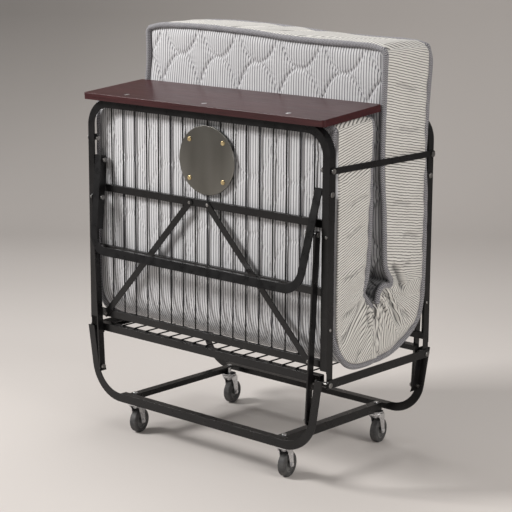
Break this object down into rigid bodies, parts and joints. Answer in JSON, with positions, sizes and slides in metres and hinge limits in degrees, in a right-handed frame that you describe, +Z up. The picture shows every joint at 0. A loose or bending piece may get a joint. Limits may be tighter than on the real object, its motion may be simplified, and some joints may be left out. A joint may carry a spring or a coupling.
{
  "type": "folding cot",
  "caption": "Fold-up rollaway cot: two hinged sprung decks with a folded striped mattress, swing-out legs, side latches, a table board and a caster carriage.",
  "frame": {"origin": "on the floor, midway between the two folded decks and on the centre of the width", "axes": "+X along the width, -Y toward the table and plaque side (front), +Z up"},
  "size_m": [0.98, 0.5834, 1.244],
  "materials": {
    "black_enamel": "semi-gloss black",
    "bolt_steel": "darkened steel heads",
    "zinc": "bright zinc plate",
    "rubber": "matt dark grey rubber",
    "hub": "black wheel centre",
    "laminate": "satin dark red-brown laminate",
    "plaque_metal": "dark bronze, plain",
    "brass": "bright",
    "ticking": "off-white with thin grey stripes, quilted"
  },
  "bodies": {
    "base": {"front_bow": "black_enamel", "rear_bow": "black_enamel", "carriage_bars": "black_enamel", "center_front_rail": "black_enamel", "center_rear_rail": "black_enamel", "side_rails": "black_enamel", "center_wires": "black_enamel", "hinge_bolts": "bolt_steel", "link_foot_bolts": "bolt_steel", "caster_mounts": "zinc", "mattress_center": "ticking"},
    "front_deck": {"front_deck_frame": "black_enamel", "front_deck_bottom_rail": "black_enamel", "front_deck_crossbars": "black_enamel", "front_deck_wires": "black_enamel", "front_deck_braces": "black_enamel", "front_deck_rivets": "bolt_steel", "front_leg_pivot_bolts": "bolt_steel", "table_board": "laminate", "table_screws": "zinc", "plaque": "plaque_metal", "plaque_screws": "brass", "latch_pivot_bolts": "bolt_steel", "mattress_front": "ticking"},
    "rear_deck": {"rear_deck_frame": "black_enamel", "rear_deck_bottom_rail": "black_enamel", "rear_deck_crossbars": "black_enamel", "rear_deck_wires": "black_enamel", "rear_deck_braces": "black_enamel", "rear_deck_rivets": "bolt_steel", "rear_leg_pivot_bolts": "bolt_steel", "latch_studs": "bolt_steel", "mattress_rear": "ticking"},
    "front_leg": {"front_leg_frame": "black_enamel", "front_link_pins": "bolt_steel"},
    "rear_leg": {"rear_leg_frame": "black_enamel", "rear_link_pins": "bolt_steel"},
    "link_fl": {"link_fl": "black_enamel"},
    "link_fr": {"link_fr": "black_enamel"},
    "link_rl": {"link_rl": "black_enamel"},
    "link_rr": {"link_rr": "black_enamel"},
    "latch_left": {"latch_bar_left": "black_enamel"},
    "latch_right": {"latch_bar_right": "black_enamel"},
    "caster_fl": {"caster_fork_fl": "zinc", "caster_axle_fl": "zinc"},
    "wheel_fl": {"caster_hub_fl": "hub", "caster_tyre_fl": "rubber"},
    "caster_fr": {"caster_fork_fr": "zinc", "caster_axle_fr": "zinc"},
    "wheel_fr": {"caster_hub_fr": "hub", "caster_tyre_fr": "rubber"},
    "caster_rl": {"caster_fork_rl": "zinc", "caster_axle_rl": "zinc"},
    "wheel_rl": {"caster_hub_rl": "hub", "caster_tyre_rl": "rubber"},
    "caster_rr": {"caster_fork_rr": "zinc", "caster_axle_rr": "zinc"},
    "wheel_rr": {"caster_hub_rr": "hub", "caster_tyre_rr": "rubber"}
  },
  "joints": [
    {"name": "front_deck_fold", "type": "hinge", "parent": "base", "child": "front_deck", "pos_m": [0, -0.2275, 0.316], "axis": [1, 0, 0], "range_deg": [0, 93.4]},
    {"name": "front_leg_swing", "type": "hinge", "parent": "front_deck", "child": "front_leg", "pos_m": [0, -0.2265, 0.856], "axis": [-1, 0, 0], "range_deg": [0, 94]},
    {"name": "link_fl_swing", "type": "hinge", "parent": "base", "child": "link_fl", "pos_m": [-0.4245, -0.2495, 0.203], "axis": [1, 0, 0], "range_deg": [0, 94]},
    {"name": "link_fr_swing", "type": "hinge", "parent": "base", "child": "link_fr", "pos_m": [0.4245, -0.2495, 0.203], "axis": [1, 0, 0], "range_deg": [0, 94]},
    {"name": "rear_deck_fold", "type": "hinge", "parent": "base", "child": "rear_deck", "pos_m": [0, 0.2275, 0.316], "axis": [-1, 0, 0], "range_deg": [0, 93.4]},
    {"name": "rear_leg_swing", "type": "hinge", "parent": "rear_deck", "child": "rear_leg", "pos_m": [0, 0.2265, 0.856], "axis": [1, 0, 0], "range_deg": [0, 94]},
    {"name": "link_rl_swing", "type": "hinge", "parent": "base", "child": "link_rl", "pos_m": [-0.4245, 0.2495, 0.203], "axis": [-1, 0, 0], "range_deg": [0, 94]},
    {"name": "link_rr_swing", "type": "hinge", "parent": "base", "child": "link_rr", "pos_m": [0.4245, 0.2495, 0.203], "axis": [-1, 0, 0], "range_deg": [0, 94]},
    {"name": "latch_left_lift", "type": "hinge", "parent": "front_deck", "child": "latch_left", "pos_m": [-0.485, -0.2275, 0.921], "axis": [1, 0, 0], "range_deg": [0, 75]},
    {"name": "latch_right_lift", "type": "hinge", "parent": "front_deck", "child": "latch_right", "pos_m": [0.485, -0.2275, 0.921], "axis": [1, 0, 0], "range_deg": [0, 75]},
    {"name": "caster_fl_swivel", "type": "hinge", "parent": "base", "child": "caster_fl", "pos_m": [-0.308, -0.216, 0.097], "axis": [0, 0, 1], "continuous": true},
    {"name": "wheel_fl_roll", "type": "hinge", "parent": "caster_fl", "child": "wheel_fl", "pos_m": [-0.31113, -0.19827, 0.0375], "axis": [0.9848, 0.1736, 0], "continuous": true},
    {"name": "caster_fr_swivel", "type": "hinge", "parent": "base", "child": "caster_fr", "pos_m": [0.308, -0.216, 0.097], "axis": [0, 0, 1], "continuous": true},
    {"name": "wheel_fr_roll", "type": "hinge", "parent": "caster_fr", "child": "wheel_fr", "pos_m": [0.30487, -0.19827, 0.0375], "axis": [0.9848, 0.1736, 0], "continuous": true},
    {"name": "caster_rl_swivel", "type": "hinge", "parent": "base", "child": "caster_rl", "pos_m": [-0.308, 0.216, 0.097], "axis": [0, 0, 1], "continuous": true},
    {"name": "wheel_rl_roll", "type": "hinge", "parent": "caster_rl", "child": "wheel_rl", "pos_m": [-0.31113, 0.23373, 0.0375], "axis": [0.9848, 0.1736, 0], "continuous": true},
    {"name": "caster_rr_swivel", "type": "hinge", "parent": "base", "child": "caster_rr", "pos_m": [0.308, 0.216, 0.097], "axis": [0, 0, 1], "continuous": true},
    {"name": "wheel_rr_roll", "type": "hinge", "parent": "caster_rr", "child": "wheel_rr", "pos_m": [0.30487, 0.23373, 0.0375], "axis": [0.9848, 0.1736, 0], "continuous": true}
  ],
  "couplings": [
    {"joint": "front_leg_swing", "follows": "front_deck_fold", "ratio": 1},
    {"joint": "link_fl_swing", "follows": "front_deck_fold", "ratio": 1},
    {"joint": "link_fr_swing", "follows": "front_deck_fold", "ratio": 1},
    {"joint": "rear_leg_swing", "follows": "rear_deck_fold", "ratio": 1},
    {"joint": "link_rl_swing", "follows": "rear_deck_fold", "ratio": 1},
    {"joint": "link_rr_swing", "follows": "rear_deck_fold", "ratio": 1}
  ]
}
